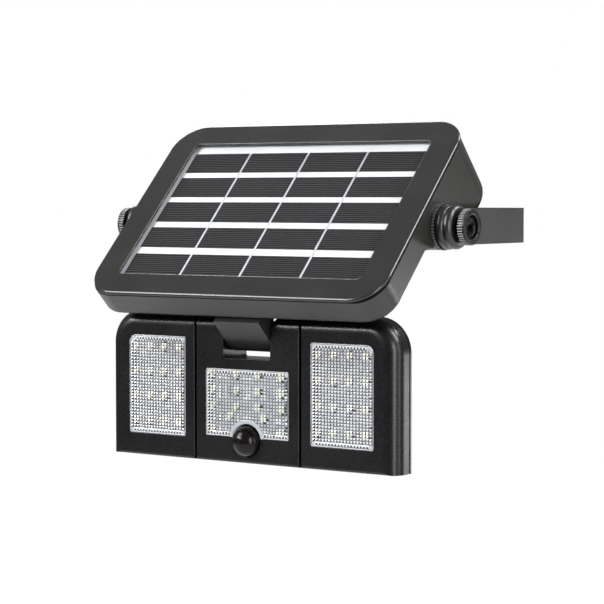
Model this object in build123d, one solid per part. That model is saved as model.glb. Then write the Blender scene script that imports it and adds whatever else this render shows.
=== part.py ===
from build123d import *
import math
import os

# Solar flood light: a tilted solar panel housing held by a U bracket, with a
# three-head lamp hanging from it. Millimetres, +Z up, -Y is the front, +X the
# right, and the origin is the centre of the wall plate's back face. The model
# is laid out with that face at WALL_Y and moved back when a part is written.
# Panel parts use the panel frame: x across, y up the slope, z out of the glass.
# Each part function is named after the file it writes.

os.makedirs("parts", exist_ok=True)

SIDES = (-1, 1)

# ---------------------------------------------------------- main dimensions
# panel housing, in the panel frame
PANEL_W, PANEL_H = 190.0, 130.8
PANEL_R, PANEL_R_LOW = 19.0, 15.8
PANEL_TILT = math.radians(45.0)
PANEL_CENTRE = (0, -95.85, 10.09)
MOUTH_Z, SLAB_Z, HUMP_Z = -2.8, -18.9, -47.6
BEZEL_T = 4.0
MODULE_W, MODULE_H, MODULE_R = 162.0, 106.2, 1.8
MODULE_Y = -0.275

# tilt axis of the panel
PIVOT_Y, PIVOT_Z = -79.0, 0.0
BOSS_R, BOSS_FACE = 12.2, 96.0
PIVOT_SCREW_R = 2.45
INSERT_R, INSERT_X0, INSERT_X1 = 4.0, 80.0, 90.0

# hinge between the panel housing and the lamp
HINGE_Y, HINGE_Z, HINGE_R = -110.9, -60.3, 6.9
HINGE_PIN_R = 2.0

# bracket, with its back face at WALL_Y
STRIP_W, STRIP_T = 19.2, 2.5
STRIP_HALF = STRIP_W / 2
ARM_X = 102.0
ARM_INNER_X = ARM_X - STRIP_T
WALL_Y = 3.0
WALL_HOLE_SPACING, WALL_HOLE_R = 120.0, 2.75

SIN, COS = math.sin(PANEL_TILT), math.cos(PANEL_TILT)
PANEL = Plane(origin=PANEL_CENTRE, x_dir=(1, 0, 0), z_dir=(0, -SIN, COS))


def to_panel(y, z):
    """Panel frame (y, z) of a point given by its layout y and z."""
    dy, dz = y - PANEL_CENTRE[1], z - PANEL_CENTRE[2]
    return dy * COS + dz * SIN, dz * COS - dy * SIN


PIVOT_PANEL = to_panel(PIVOT_Y, PIVOT_Z)
HINGE_PANEL_Y, HINGE_PANEL_Z = to_panel(HINGE_Y, HINGE_Z)


# ------------------------------------------------------------------ helpers
def box(x0, x1, y0, y1, z0, z1):
    """Box from its six bounds, each pair in either order."""
    centre = Pos((x0 + x1) / 2, (y0 + y1) / 2, (z0 + z1) / 2)
    return centre * Box(abs(x1 - x0), abs(y1 - y0), abs(z1 - z0))


def rod_x(radius, x0, x1, y=0.0, z=0.0):
    return Pos((x0 + x1) / 2, y, z) * Rot(0, 90, 0) * Cylinder(radius, abs(x1 - x0))


def rod_y(radius, y0, y1, x=0.0, z=0.0):
    return Pos(x, (y0 + y1) / 2, z) * Rot(90, 0, 0) * Cylinder(radius, abs(y1 - y0))


def rod_z(radius, z0, z1, x=0.0, y=0.0):
    return Pos(x, y, (z0 + z1) / 2) * Cylinder(radius, abs(z1 - z0))


def slab(width, height, radius, z0, z1, y=0.0):
    """Rounded rectangle standing from z0 to z1."""
    return Pos(0, y, z0) * extrude(RectangleRounded(width, height, radius), z1 - z0)


def extrude_y(sketch, y0, y1):
    """Extrude an (x, z) sketch between two y planes."""
    return extrude(Plane.XZ.offset(-y1) * sketch, y1 - y0)


def extrude_x(sketch, x0, x1):
    """Extrude a (y, z) sketch between two x planes."""
    return extrude(Plane.YZ.offset(x0) * sketch, x1 - x0)


def polygon(*points):
    return make_face(Polyline(*points, close=True))


def lines(*points):
    """Straight edges joining successive points."""
    return [Line(start, end) for start, end in zip(points, points[1:])]


def rect(x0, x1, z0, z1):
    """Rectangle sketch from its bounds, each pair in either order."""
    return Pos((x0 + x1) / 2, (z0 + z1) / 2) * Rectangle(abs(x1 - x0), abs(z1 - z0))


def round_corner(sketch, x, z, radius):
    """Round the one corner of a sketch nearest to (x, z)."""
    nearest = sorted(sketch.vertices(), key=lambda p: (p.X - x) ** 2 + (p.Y - z) ** 2)[0]
    return fillet(nearest, radius)


def around(count, radius, phase=0.0):
    """(y, z) points evenly spaced round a circle about the X axis."""
    angles = [2 * math.pi * (i + phase) / count for i in range(count)]
    return [(radius * math.cos(angle), radius * math.sin(angle)) for angle in angles]


def soften(shape, edges, radii):
    """Fillet edges with the first radius that works, or leave them sharp."""
    for radius in radii:
        # the kernel raises an error where a radius does not fit its edges
        try:
            rounded = fillet(edges, radius)
            if rounded.is_valid:
                return rounded
        except Exception:
            pass
    return shape


def flip(shape):
    """Mirror a shape, or each shape of a list, across x = 0."""
    if isinstance(shape, list):
        return [flip(item) for item in shape]
    return mirror(shape, about=Plane.YZ)


def save(name, shape, on_panel=False):
    """Write a shape, or a list of shapes as one group."""
    if isinstance(shape, list):
        shape = Compound(children=shape)
    if on_panel:
        shape = PANEL.location * shape
    export_step(Pos(0, -WALL_Y, 0) * shape, "parts/" + name + ".step")


def panel_screw(x, y, head_r, head_z, seat_z, shank_r, tip_z, slot_half, slot_depth, edge_r=0):
    """Cross-slot screw along panel z, its head facing away from the glass."""
    screw = rod_z(head_r, head_z, seat_z, x, y)
    if edge_r:
        screw = fillet(screw.edges().sort_by(Axis.Z)[0], edge_r)
    screw += rod_z(shank_r, seat_z - 0.1, tip_z, x, y)
    for half_x, half_y in ((slot_half, 0.3), (0.3, slot_half)):
        screw -= box(
            x - half_x, x + half_x, y - half_y, y + half_y, head_z - 0.5, head_z + slot_depth
        )
    return screw


def lamp_screw(x, z, seat_y, head_h, length):
    """Cross-slot screw driven towards the front, head at the rear."""
    head_r, shank_r = 2.6, 1.2
    screw = rod_y(head_r, seat_y, seat_y + head_h, x, z)
    screw = fillet(screw.edges().sort_by(Axis.Y)[-1], head_h * 0.4)
    screw += rod_y(shank_r, seat_y - length, seat_y + 0.1, x, z)
    slot_y0, slot_y1 = seat_y + head_h * 0.5, seat_y + head_h + 1
    for half_x, half_z in ((head_r * 0.6, 0.3), (0.3, head_r * 0.6)):
        screw -= box(x - half_x, x + half_x, slot_y0, slot_y1, z - half_z, z + half_z)
    return screw


# -------------------------------------------------------------------- bezel
BEZEL_W, BEZEL_H = 190.8, 131.8
LIP_Z = -1.55
WINDOW_W, WINDOW_H = 157.0, 101.35

# x, y, z of the housing's back face at each screw
BEZEL_SCREWS = (
    (-60.0, -57.3, SLAB_Z), (60.0, -57.3, SLAB_Z),
    (-87.4, -30.0, SLAB_Z), (87.4, -30.0, SLAB_Z),
    (-85.0, 53.0, HUMP_Z), (85.0, 53.0, HUMP_Z),
)
BEZEL_SEAT_Z = -15.6
TOWER_TOP_Z = -12.2


def panel_outline(inset):
    """Panel outline drawn in by inset, tighter at the two low corners."""
    width, height = PANEL_W - 2 * inset, PANEL_H - 2 * inset
    sketch = Rectangle(width, height)
    for x in (-width / 2, width / 2):
        sketch = round_corner(sketch, x, height / 2, PANEL_R - inset)
        sketch = round_corner(sketch, x, -height / 2, PANEL_R_LOW - inset)
    return sketch


def panel_ring(inset_out, inset_in, z0, z1):
    """Ring between two insets of the panel outline."""
    solid = Pos(0, 0, z0) * extrude(panel_outline(inset_out), z1 - z0)
    return solid - Pos(0, 0, z0 - 1) * extrude(panel_outline(inset_in), z1 - z0 + 2)


def front_bezel():
    """Thin rounded lip standing on a narrower spigot."""
    bezel = slab(BEZEL_W, BEZEL_H, PANEL_R, LIP_Z, 0)
    bezel = fillet(bezel.faces().sort_by(Axis.Z)[-1].outer_wire().edges(), 1.45)
    bezel += Pos(0, 0, -BEZEL_T) * extrude(panel_outline(2.4), BEZEL_T + LIP_Z + 0.2)
    bezel -= slab(MODULE_W + 0.4, MODULE_H + 0.4, 2.0, -BEZEL_T - 1, -1.4, MODULE_Y)
    bezel -= slab(WINDOW_W, WINDOW_H, 2.5, -3, 1, MODULE_Y)
    window_edges = bezel.faces().sort_by(Axis.Z)[-1].inner_wires()[0].edges()
    bezel = soften(bezel, window_edges, (0.45, 0.3))
    for x, y, _ in BEZEL_SCREWS:
        bezel += rod_z(3.4, -12, -BEZEL_T + 0.5, x, y)
    for x, y, _ in BEZEL_SCREWS:
        bezel -= rod_z(1.5, -13, -2.6, x, y)
    return bezel


def panel_gasket():
    gasket = panel_ring(2.65, 3.85, -5.4, -BEZEL_T)
    for x, y, _ in BEZEL_SCREWS:
        gasket -= rod_z(3.6, TOWER_TOP_Z, -3.0, x, y)
    return gasket


def bezel_screws():
    return [
        panel_screw(
            x, y, head_r=2.9, head_z=-17.4, seat_z=BEZEL_SEAT_Z,
            shank_r=1.45, tip_z=-4.6, slot_half=2.0, slot_depth=0.9,
        )
        for x, y, _ in BEZEL_SCREWS
    ]


# ------------------------------------------------------------- rear housing
# thin slab at the low end, deep battery hump at the high end
HALF_H = PANEL_H / 2
WALL = 2.2
DRAFT = 1.2
RAMP_Y0, RAMP_Y1 = -12.0, 25.0

BATTERY_Y, BATTERY_Z, BATTERY_R = 46.0, -32.0, 9.2
BATTERY_POSTS = ((-47.0, BATTERY_Y), (47.0, BATTERY_Y))
DOOR_W, DOOR_H, DOOR_R, DOOR_T = 104.0, 25.0, 4.0, 1.7
ACCESS_W, ACCESS_H = 80.0, 20.0

BOARD_POSTS = ((-31.0, -42.0), (-31.0, -20.0), (31.0, -42.0), (31.0, -20.0), (61.0, -20.0))
HINGE_SCREWS = ((-8.0, -54.0), (8.0, -54.0))
BUTTON_X, BUTTON_Y = 52.0, -36.0


def tapered(inset, bottom):
    """Panel outline drawn down from the mouth with the moulding draft."""
    return Pos(0, 0, MOUTH_Z) * extrude(panel_outline(inset), bottom - MOUTH_Z, taper=DRAFT)


def hump_rim(body):
    """Edges of the hump's back face, without the crease at its low side."""
    edges = body.faces().sort_by(Axis.Z)[0].edges()
    crease_y = edges.sort_by(Axis.Y)[0].center().Y
    return [e for e in edges if e.center().Y > crease_y + 0.5]


def housing_outside():
    profile = polygon(
        (HALF_H + 1, MOUTH_Z), (HALF_H + 1, HUMP_Z), (RAMP_Y1, HUMP_Z),
        (RAMP_Y0, SLAB_Z), (-HALF_H - 1, SLAB_Z), (-HALF_H - 1, MOUTH_Z),
    )
    body = extrude_x(profile, -PANEL_W / 2 - 1, PANEL_W / 2 + 1) & tapered(0, HUMP_Z - 5)
    body = soften(body, hump_rim(body), (9.5, 8.0, 7.0, 6.0, 4.0))
    slab_face = [
        f for f in body.faces() if abs(f.center().Z - SLAB_Z) < 0.01 and f.area > 2000
    ][0]
    low_edges = [e for e in slab_face.edges() if e.center().Y < RAMP_Y0 - 1]
    return soften(body, low_edges, (3.0, 2.5, 2.0, 1.2))


def housing_cavity():
    profile = polygon(
        (HALF_H, MOUTH_Z), (HALF_H, HUMP_Z + WALL), (RAMP_Y1 + 1.0, HUMP_Z + WALL),
        (RAMP_Y0 + 0.9, SLAB_Z + WALL), (-HALF_H, SLAB_Z + WALL), (-HALF_H, MOUTH_Z),
    )
    body = extrude_x(profile, -PANEL_W / 2, PANEL_W / 2) & tapered(WALL, HUMP_Z - 2)
    return soften(body, hump_rim(body), (7.5, 6.0, 5.0, 4.0, 3.0))


def rear_housing():
    outside = housing_outside()
    housing = outside - housing_cavity()

    # ledge round the mouth, with the groove for the seal
    housing += panel_ring(0.5, 5.2, -7.4, -BEZEL_T) & outside
    housing -= panel_ring(2.6, 3.9, -5.4, -3.9)

    # screw towers
    for x, y, back_z in BEZEL_SCREWS:
        housing += rod_z(5.0, back_z + 1.0, TOWER_TOP_Z, x, y) & outside
    for x, y, back_z in BEZEL_SCREWS:
        housing -= rod_z(3.1, back_z - 1.0, BEZEL_SEAT_Z, x, y)
        housing -= rod_z(1.7, -16.0, -11.0, x, y)
        housing -= rod_z(3.6, TOWER_TOP_Z, -3.0, x, y)

    # bosses for the tilt axis, bored for the screw and its insert
    for side in SIDES:
        housing += rod_x(BOSS_R, side * 80.0, side * BOSS_FACE, *PIVOT_PANEL)
    for side in SIDES:
        housing -= rod_x(2.7, side * 79.0, side * (BOSS_FACE + 1), *PIVOT_PANEL)
        housing -= rod_x(INSERT_R, side * 79.0, side * INSERT_X1, *PIVOT_PANEL)

    # battery posts and the access opening behind the hump
    for x, y in BATTERY_POSTS:
        housing += rod_z(4.0, HUMP_Z + 1.0, -22.0, x, y)
    housing -= slab(
        DOOR_W + 0.3, DOOR_H + 0.3, DOOR_R + 0.15, HUMP_Z - 1, HUMP_Z + DOOR_T, BATTERY_Y
    )
    housing -= slab(ACCESS_W, ACCESS_H, 2.0, HUMP_Z - 1, HUMP_Z + 4, BATTERY_Y)
    for x, y in BATTERY_POSTS:
        housing -= rod_z(1.25, HUMP_Z, -38.0, x, y)

    # board posts and hinge screw posts
    for x, y in BOARD_POSTS:
        housing += rod_z(2.4, SLAB_Z + 1.0, -11.65, x, y)
    for x, y in HINGE_SCREWS:
        housing += rod_z(3.8, SLAB_Z + 1.0, -7.6, x, y)
    for x, y in HINGE_SCREWS:
        housing -= rod_z(1.5, SLAB_Z - 1.0, -8.4, x, y)

    # button hole with a shallow ring groove round it
    housing -= rod_z(5.2, SLAB_Z - 1, SLAB_Z + WALL + 1, BUTTON_X, BUTTON_Y)
    housing -= Pos(BUTTON_X, BUTTON_Y, SLAB_Z - 0.01) * Torus(6.4, 0.5)
    return housing


# ------------------------------------------------------------- solar module
CELL_H = 15.2
CELL_ROWS = (37.85, 18.5, -0.9, -20.55, -40.8)
# x of the left and right edge of each cell column
CELL_COLUMNS = ((-77.4, -39.75), (-38.25, -0.25), (1.25, 38.55), (40.05, 77.4))
CELL_BACK_Z = -3.36


def solar_cover():
    return slab(MODULE_W, MODULE_H, MODULE_R, -3.0, -1.45, MODULE_Y)


def solar_backsheet():
    return slab(MODULE_W, MODULE_H, MODULE_R, -3.95, CELL_BACK_Z, MODULE_Y)


def solar_cells():
    return [
        box(x0, x1, y - CELL_H / 2, y + CELL_H / 2, CELL_BACK_Z, -3.12)
        for y in CELL_ROWS
        for x0, x1 in CELL_COLUMNS
    ]


def solar_busbars():
    """Strips filling the gaps between the cell columns."""
    y0, y1 = CELL_ROWS[-1] - CELL_H / 2, CELL_ROWS[0] + CELL_H / 2
    return [
        box(left[1] + 0.1, right[0] - 0.1, y0, y1, CELL_BACK_Z, -3.16)
        for left, right in zip(CELL_COLUMNS, CELL_COLUMNS[1:])
    ]


# ------------------------------------------------------------------ battery
HOLDER_TOP_Z = -19.9
HOLDER_X, HOLDER_INNER_X, FOOT_X = 37.5, 35.3, 52.0
HOLDER_BORE_R = BATTERY_R + 0.25
CONTACT_Z0, CONTACT_Z1 = -33.9, -24.0


def battery_cell():
    cell = rod_x(BATTERY_R, -32.0, 32.0, BATTERY_Y, BATTERY_Z)
    cell = fillet(cell.edges(), 1.0)
    return cell + rod_x(2.8, 31.5, 33.2, BATTERY_Y, BATTERY_Z)


def battery_holder():
    """Cradle over the cell, with a foot at each end."""
    y0, y1 = BATTERY_Y - HOLDER_BORE_R, BATTERY_Y + HOLDER_BORE_R
    holder = box(
        -HOLDER_X, HOLDER_X, BATTERY_Y - 11.0, BATTERY_Y + 11.0, -34.0, HOLDER_TOP_Z
    )
    holder -= rod_x(HOLDER_BORE_R, -HOLDER_INNER_X, HOLDER_INNER_X, BATTERY_Y, BATTERY_Z)
    holder -= box(-HOLDER_INNER_X, HOLDER_INNER_X, y0, y1, -35, BATTERY_Z)
    for side in SIDES:
        holder += box(
            side * FOOT_X, side * (HOLDER_X - 0.5),
            BATTERY_Y - 5, BATTERY_Y + 5, -21.95, HOLDER_TOP_Z,
        )
    holder -= rod_x(1.4, -60, 60, BATTERY_Y, HOLDER_TOP_Z)
    return holder


def battery_contacts():
    """Plate with a tab at the +X end, plate with a cone at the -X end."""
    y0, y1 = BATTERY_Y - 5, BATTERY_Y + 5
    positive = box(33.25, 33.6, y0, y1, CONTACT_Z0, CONTACT_Z1)
    positive += box(33.6, HOLDER_INNER_X, BATTERY_Y - 2, BATTERY_Y + 2, -33.0, -32.0)
    cone = revolve(
        polygon((-35.1, 4.2), (-32.05, 2.2), (-32.05, 1.5), (-35.1, 3.5)), Axis.X, 360
    )
    negative = box(-HOLDER_INNER_X, -34.95, y0, y1, CONTACT_Z0, CONTACT_Z1)
    negative += Pos(0, BATTERY_Y, BATTERY_Z) * cone
    return [positive, negative]


def battery_cover():
    cover = slab(DOOR_W, DOOR_H, DOOR_R, HUMP_Z, HUMP_Z + DOOR_T, BATTERY_Y)
    cover = soften(cover, cover.faces().sort_by(Axis.Z)[0].outer_wire().edges(), (0.4,))
    spigot = slab(ACCESS_W - 0.4, ACCESS_H - 0.4, 1.8, HUMP_Z + 1.6, HUMP_Z + 3.4, BATTERY_Y)
    spigot -= slab(ACCESS_W - 4, ACCESS_H - 4, 1.0, HUMP_Z + DOOR_T, HUMP_Z + 4, BATTERY_Y)
    cover += spigot
    for x, y in BATTERY_POSTS:
        cover -= rod_z(1.5, HUMP_Z - 1, HUMP_Z + 3, x, y)
    return cover


def battery_cover_screws():
    return [
        panel_screw(
            x, y, head_r=2.6, head_z=HUMP_Z - 1.5, seat_z=HUMP_Z,
            shank_r=1.2, tip_z=-38.4, slot_half=1.7, slot_depth=0.9, edge_r=0.7,
        )
        for x, y in BATTERY_POSTS
    ]


def battery_leads():
    """Two wires from the battery holder to the charge board."""
    leads = []
    for x0, x1 in ((-39.6, -28.6), (-42.0, -31.2)):
        path = Spline(
            (x0, 37.0, -24.0), (x0 - 1.5, 26.0, -17.0), (x0 + 2.0, 2.0, -10.5), (x1, -16.2, -7.4)
        )
        section = Plane(origin=path @ 0, z_dir=path % 0) * Circle(0.8)
        leads.append(sweep(section, path=path))
    return leads


# ------------------------------------------------------------- charge board
BOARD_Z = -11.6
BOARD_TOP_Z = BOARD_Z + 1.6
# x0, x1, y0, y1, height above the board
BLOCK_COMPONENTS = (
    (-6.0, 6.0, -36.0, -26.0, 1.6),
    (26.0, 32.0, -38.0, -32.0, 1.4),
    (-33.0, -27.0, -24.0, -17.0, 4.4),
    (40.0, 48.0, -24.0, -18.0, 4.4),
    (42.0, 46.0, -40.0, -34.0, 1.2),
)
# x, y, radius, height above the board
ROUND_COMPONENTS = ((-20.0, -30.0, 4.0, 3.4), (18.0, -24.0, 3.0, 4.6), (18.0, -34.0, 3.0, 4.6))


def charge_board():
    board = box(-35.0, 65.0, -46.0, -16.0, BOARD_Z, BOARD_TOP_Z)
    for x, y in HINGE_SCREWS:
        board -= rod_z(4.4, -20, -5, x, y)
    return board


def board_components():
    blocks = [
        box(x0, x1, y0, y1, BOARD_TOP_Z, BOARD_TOP_Z + height)
        for x0, x1, y0, y1, height in BLOCK_COMPONENTS
    ]
    rounds = [
        rod_z(radius, BOARD_TOP_Z, BOARD_TOP_Z + height, x, y)
        for x, y, radius, height in ROUND_COMPONENTS
    ]
    return blocks + rounds


def tact_switch():
    body = box(BUTTON_X - 3, BUTTON_X + 3, BUTTON_Y - 3, BUTTON_Y + 3, -13.8, BOARD_Z)
    return body + rod_z(1.7, -14.2, -13.7, BUTTON_X, BUTTON_Y)


def mode_button():
    button = rod_z(5.12, -19.4, -15.6, BUTTON_X, BUTTON_Y)
    button = fillet(button.edges().sort_by(Axis.Z)[0], 1.0)
    return button + rod_z(6.4, -15.75, -15.15, BUTTON_X, BUTTON_Y)


# ------------------------------------------- hinge arm from housing to lamp
ARM_HALF_W = 14.8
FOOT_T = 2.5


def hinge_arm():
    """Foot on the housing, web, round barrel and two gussets."""
    web_y, top_z = HINGE_PANEL_Y - HINGE_R, SLAB_Z - 0.02
    arm = box(-ARM_HALF_W, ARM_HALF_W, web_y, web_y + 3.5, HINGE_PANEL_Z, top_z)
    arm += box(-ARM_HALF_W, ARM_HALF_W, web_y, -46.0, SLAB_Z - FOOT_T, top_z)
    arm += rod_x(HINGE_R, -ARM_HALF_W, ARM_HALF_W, HINGE_PANEL_Y, HINGE_PANEL_Z)
    gusset = polygon(
        (-64.0, SLAB_Z - 2.4), (-50.0, SLAB_Z - 2.4), (-62.0, -34.0), (-64.0, -36.0)
    )
    for x0, x1 in ((-14.6, -11.8), (11.8, 14.6)):
        arm += extrude_x(gusset, x0, x1)
    arm -= rod_x(HINGE_PIN_R + 0.06, -20, 20, HINGE_PANEL_Y, HINGE_PANEL_Z)
    for x, y in HINGE_SCREWS:
        arm -= rod_z(1.7, -25, -15, x, y)
    return arm


def hinge_arm_screws():
    seat_z = SLAB_Z - FOOT_T
    return [
        panel_screw(
            x, y, head_r=2.8, head_z=seat_z - 1.8, seat_z=seat_z,
            shank_r=1.45, tip_z=-8.8, slot_half=1.8, slot_depth=1.0, edge_r=0.8,
        )
        for x, y in HINGE_SCREWS
    ]


# --------------------------------------------- bracket and tilt axis, +X end
COLLAR_R, FLANGE_R, WAIST_R = 11.9, 12.3, 10.9
# collar stations: inner face, flange, waist and outer face
COLLAR_X0, COLLAR_X1, WAIST_X, COLLAR_X2 = 96.6, 98.0, 102.5, 107.5
FLANGE_NOTCHES = 44
KNOB_X0, KNOB_X1 = 110.0, 114.4
KNOB_R, DISH_R = 9.6, 6.3
KNOB_RIDGES = 42
RIDGE_R = 0.42
DISH_X = KNOB_X0 + 1.2


def upright_edges(body, x, y):
    """Edges along Z standing at (x, y)."""
    return [
        e for e in body.edges().filter_by(Axis.Z)
        if abs(e.center().X - x) < 0.01 and abs(e.center().Y - y) < 0.01
    ]


def wall_bracket():
    """U of flat strip, with round ends on its arms."""
    plate = box(-ARM_X, ARM_X, WALL_Y - STRIP_T, WALL_Y, -STRIP_HALF, STRIP_HALF)
    for side in SIDES:
        plate += box(
            side * ARM_X, side * ARM_INNER_X, PIVOT_Y, WALL_Y, -STRIP_HALF, STRIP_HALF
        )
    for side in SIDES:
        plate = fillet(upright_edges(plate, side * ARM_X, WALL_Y), 4.0)
        plate = fillet(upright_edges(plate, side * ARM_INNER_X, WALL_Y - STRIP_T), 1.5)
    for side in SIDES:
        plate += rod_x(STRIP_HALF, side * ARM_X, side * ARM_INNER_X, PIVOT_Y, PIVOT_Z)
    for side in SIDES:
        plate -= rod_x(
            PIVOT_SCREW_R + 0.3, side * (ARM_X + 1), side * (ARM_INNER_X - 1), PIVOT_Y, PIVOT_Z
        )
        plate -= rod_y(WALL_HOLE_R, WALL_Y - 5, WALL_Y + 1, side * WALL_HOLE_SPACING / 2)
    return plate


def pivot_collar():
    """Notched flange, two rolls with a waist between, and a slot for the strip end."""
    bore = PIVOT_SCREW_R + 0.05
    # (x, radius) profile
    profile = make_face([
        *lines(
            (COLLAR_X0, bore), (COLLAR_X0, FLANGE_R),
            (COLLAR_X1, FLANGE_R), (COLLAR_X1, COLLAR_R - 1.0),
        ),
        ThreePointArc((COLLAR_X1, COLLAR_R - 1.0), (COLLAR_X1 + 2.2, COLLAR_R), (WAIST_X, WAIST_R)),
        ThreePointArc((WAIST_X, WAIST_R), (WAIST_X + 2.0, COLLAR_R - 0.2), (COLLAR_X2, 8.7)),
        *lines(
            (COLLAR_X2, 8.7), (COLLAR_X2, 6.6), (COLLAR_X2 - 1.2, 6.6),
            (COLLAR_X2 - 1.2, bore), (COLLAR_X0, bore),
        ),
    ])
    collar = revolve(profile, Axis.X, 360)
    for y, z in around(FLANGE_NOTCHES, FLANGE_R):
        collar -= rod_x(0.42, COLLAR_X0 - 0.2, COLLAR_X1 + 0.05, y, z)
    slot_x0, slot_x1, slot_half = ARM_INNER_X - 0.05, ARM_X + 0.05, STRIP_HALF + 0.06
    slot = rod_x(slot_half, slot_x0, slot_x1)
    slot += box(slot_x0, slot_x1, 0, 20, -slot_half, slot_half)
    collar -= slot
    return Pos(0, PIVOT_Y, PIVOT_Z) * collar


def friction_washers():
    washer = rod_x(10.6, BOSS_FACE + 0.05, COLLAR_X0 - 0.05, PIVOT_Y, PIVOT_Z)
    washer -= rod_x(PIVOT_SCREW_R + 0.3, 90, 100, PIVOT_Y, PIVOT_Z)
    return [washer, flip(washer)]


def knob_inserts():
    insert = rod_x(INSERT_R, INSERT_X0, INSERT_X1, PIVOT_Y, PIVOT_Z)
    insert -= rod_x(PIVOT_SCREW_R + 0.05, INSERT_X0 - 1, INSERT_X1 + 1, PIVOT_Y, PIVOT_Z)
    return [insert, flip(insert)]


def knob():
    """Ridged wheel on a short neck, with a dished outer face."""
    wheel = rod_x(KNOB_R - 0.75, KNOB_X0, KNOB_X1)
    wheel = fillet(wheel.edges(), 0.6)
    for y, z in around(KNOB_RIDGES, KNOB_R - 0.5, phase=0.5):
        wheel += rod_x(RIDGE_R, KNOB_X0 + 0.4, KNOB_X1 - 0.85, y, z)
    face_ring = rod_x(KNOB_R - 0.1, KNOB_X1 - 1.1, KNOB_X1)
    wheel += fillet(face_ring.edges(), 0.5)
    wheel += rod_x(6.1, COLLAR_X2 - 1.1, KNOB_X0 + 0.5)
    wheel -= rod_x(DISH_R, DISH_X, KNOB_X1 + 1)
    dish_rim = [
        e for e in wheel.edges().filter_by(GeomType.CIRCLE)
        if abs(e.center().X - KNOB_X1) < 0.05 and abs(e.radius - DISH_R) < 0.05
    ]
    wheel = soften(wheel, dish_rim, (0.7, 0.5, 0.3))
    wheel -= rod_x(PIVOT_SCREW_R + 0.01, 100, 120)
    return Pos(0, PIVOT_Y, PIVOT_Z) * wheel


def knob_screw():
    """Screw with a hollowed head and a hexagonal socket."""
    screw = rod_x(5.1, DISH_X, KNOB_X0 + 3.5)
    screw = fillet(screw.edges().sort_by(Axis.X)[-1], 0.35)
    screw -= Pos(KNOB_X0 + 9.57, 0, 0) * Sphere(7.5)
    screw += rod_x(PIVOT_SCREW_R, 81.0, KNOB_X0 + 1.5)
    socket = Plane.YZ.offset(KNOB_X0 + 1.6) * RegularPolygon(1.9, 6)
    screw -= extrude(socket, 5)
    return Pos(0, PIVOT_Y, PIVOT_Z) * screw


# -------------------------------------------------------- lamp, shared sizes
FRONT_Y = -120.56
LAMP_TOP, LAMP_BOTTOM = -46.4, -126.85
LAMP_EDGE_R = 8.0
SHELL_T = 2.0
SPLIT_X, SPLIT_GAP = 34.3, 1.2
WING_X0, HEAD_X = SPLIT_X + SPLIT_GAP / 2, SPLIT_X - SPLIT_GAP / 2
KNUCKLE_Y, KNUCKLE_R = -101.5, 3.2
KNUCKLE_ZS = (-66.0, -108.0)
DIFFUSER_Y0, DIFFUSER_Y1 = FRONT_Y + 0.45, FRONT_Y + SHELL_T + 0.06
FLANGE_Y1 = FRONT_Y + 2.7
LED_BOARD_Y0, LED_BOARD_Y1 = FRONT_Y + 3.66, FRONT_Y + 4.86


def plan_trim(x0, x1, y_back, ends):
    """Upright block that rounds the vertical front edges at the given x ends."""
    sketch = rect(x0, x1, FRONT_Y, y_back)
    for x in ends:
        sketch = round_corner(sketch, x, FRONT_Y, 0.8)
    return Pos(0, 0, LAMP_BOTTOM - 5) * extrude(sketch, LAMP_TOP - LAMP_BOTTOM + 10)


def cut_grooves(body, x0, x1, rear_y, z, count):
    """Cut level grooves in a rear face, the first from z up, the rest below it."""
    for i in range(count):
        body -= box(x0, x1, rear_y - 0.5, rear_y + 1, z - 8 * i, z + 2.5 - 8 * i)
    return body


def diffuser_body(window, flange):
    """Plate filling a window, on a wider flange behind the shell wall."""
    plate = extrude_y(
        offset(window, -0.08, kind=Kind.INTERSECTION), DIFFUSER_Y0, DIFFUSER_Y1
    )
    return plate + extrude_y(flange, DIFFUSER_Y1 - 0.01, FLANGE_Y1)


def led(x, z):
    """Square package with a round well in its front."""
    body = box(x - 1.4, x + 1.4, LED_BOARD_Y0 - 0.75, LED_BOARD_Y0, z - 1.4, z + 1.4)
    return body - rod_y(1.05, LED_BOARD_Y0 - 1.0, LED_BOARD_Y0 - 0.55, x, z)


# ------------------------------------------------------ lamp wing, +X side
WING_X1, WING_CORNER_R = 93.9, 18.5
WING_SPLIT_Y, WING_REAR_Y = -108.06, -105.06
WING_WINDOW = (41.0, 80.0, -114.6, -60.3)  # x0, x1, z0, z1
WING_SCREWS = ((42.0, -52.8), (86.6, -72.0), (86.6, -119.2), (42.0, -119.2))
WING_SEAT_Y = WING_REAR_Y - 1.5
WING_LED_XS = (44.9, 55.3, 65.7, 76.1)
WING_LED_ZS = (-66.2, -80.0, -93.9, -107.7)


def wing_outline(inset):
    sketch = rect(WING_X0 + inset, WING_X1 - inset, LAMP_BOTTOM + inset, LAMP_TOP - inset)
    return round_corner(sketch, WING_X1, LAMP_TOP, WING_CORNER_R - inset)


def wing_window():
    x0, x1, z0, z1 = WING_WINDOW
    window = round_corner(rect(x0, x1, z0, z1), x1, z1, 4.6)
    for x, z in ((x0, z0), (x1, z0), (x0, z1)):
        window = round_corner(window, x, z, 1.0)
    return window


def wing_prism(inset, y_back):
    """Wing body whose top and outer front edges carry the big radius."""
    body = extrude_y(wing_outline(inset), FRONT_Y + inset, y_back)
    edges = [
        e for e in body.faces().sort_by(Axis.Y)[0].edges()
        if e.center().Z > LAMP_BOTTOM + inset + 1 and e.center().X > WING_X0 + inset + 1
    ]
    return fillet(edges, LAMP_EDGE_R - inset)


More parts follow.
